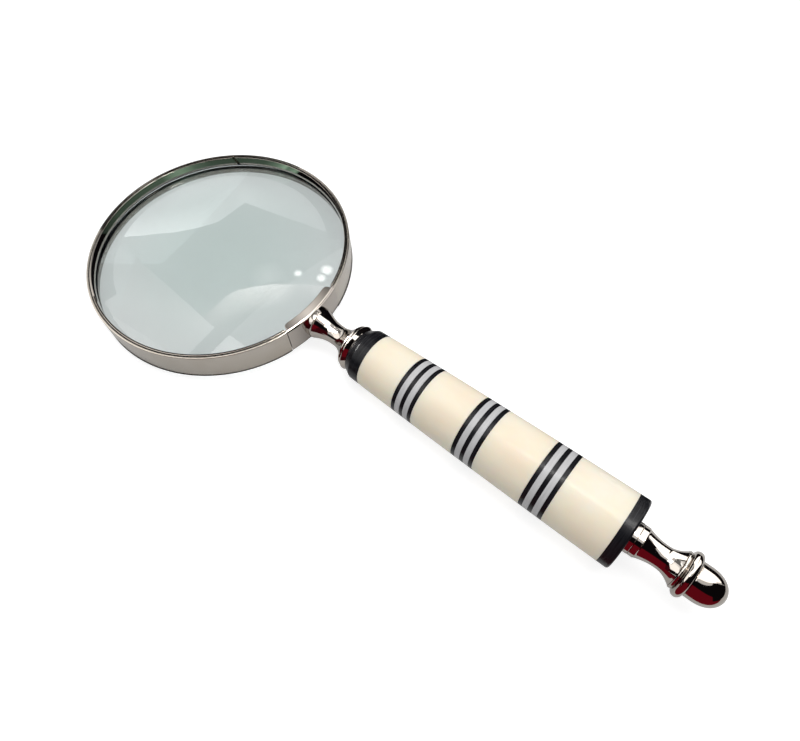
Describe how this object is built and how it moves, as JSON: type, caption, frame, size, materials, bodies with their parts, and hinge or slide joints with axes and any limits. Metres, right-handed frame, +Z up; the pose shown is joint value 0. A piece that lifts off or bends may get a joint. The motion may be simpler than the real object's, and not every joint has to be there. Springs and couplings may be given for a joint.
{
  "type": "hand magnifying glass",
  "caption": "Hand magnifying glass: thick round lens in a narrow metal band with a saddle and turned neck, banded barrel handle on a tie rod, and a screwed metal finial.",
  "frame": {"origin": "on the table, under the middle of the overall box", "axes": "+X from the lens to the finial, +Z up; the glass lies on a table, on the far edge of its band and the underside of its barrel, so its handle rises towards the finial by 1.76 degrees"},
  "size_m": [0.2662, 0.104, 0.0259],
  "materials": {
    "glass": "clear polished lens glass, faintly green at the edge",
    "satin_nickel": "warm nickel plate, satin from the sheet it was rolled from",
    "bright_nickel": "warm nickel plate, polished to a mirror",
    "black_resin": "black resin, turned and polished",
    "cream_resin": "cream resin or bone, turned and polished",
    "grey_resin": "light grey resin, turned and polished",
    "steel": "plain steel rod"
  },
  "bodies": {
    "handle": {"lens": "glass", "lens_ring_band": "satin_nickel", "ring_saddle": "bright_nickel", "retaining_ring": "bright_nickel", "seat_ring": "bright_nickel", "neck": "bright_nickel", "neck_ferrule": "bright_nickel", "front_collar": "black_resin", "cream_grip_1": "cream_resin", "black_ring_1_1": "black_resin", "grey_ring_1_1": "grey_resin", "black_ring_1_2": "black_resin", "grey_ring_1_2": "grey_resin", "black_ring_1_3": "black_resin", "cream_grip_2": "cream_resin", "black_ring_2_1": "black_resin", "grey_ring_2_1": "grey_resin", "black_ring_2_2": "black_resin", "grey_ring_2_2": "grey_resin", "black_ring_2_3": "black_resin", "cream_grip_3": "cream_resin", "black_ring_3_1": "black_resin", "grey_ring_3_1": "grey_resin", "black_ring_3_2": "black_resin", "grey_ring_3_2": "grey_resin", "black_ring_3_3": "black_resin", "cream_grip_4": "cream_resin", "rear_collar": "black_resin", "tie_rod": "steel"},
    "washer": {"end_washer": "bright_nickel"},
    "finial": {"finial": "bright_nickel"}
  },
  "joints": [
    {"name": "washer_slide", "type": "slide", "parent": "handle", "child": "washer", "axis": [0.9995, 0, 0.0307], "range_m": [0, 0.01]},
    {"name": "finial_turn", "type": "hinge", "parent": "washer", "child": "finial", "pos_m": [0.10415, 0, 0.01352], "axis": [0.9995, 0, 0.0307], "range_deg": [0, 5040]}
  ],
  "couplings": [
    {"joint": "washer_slide", "follows": "finial_turn", "m_per_rad": 0.00011141}
  ]
}
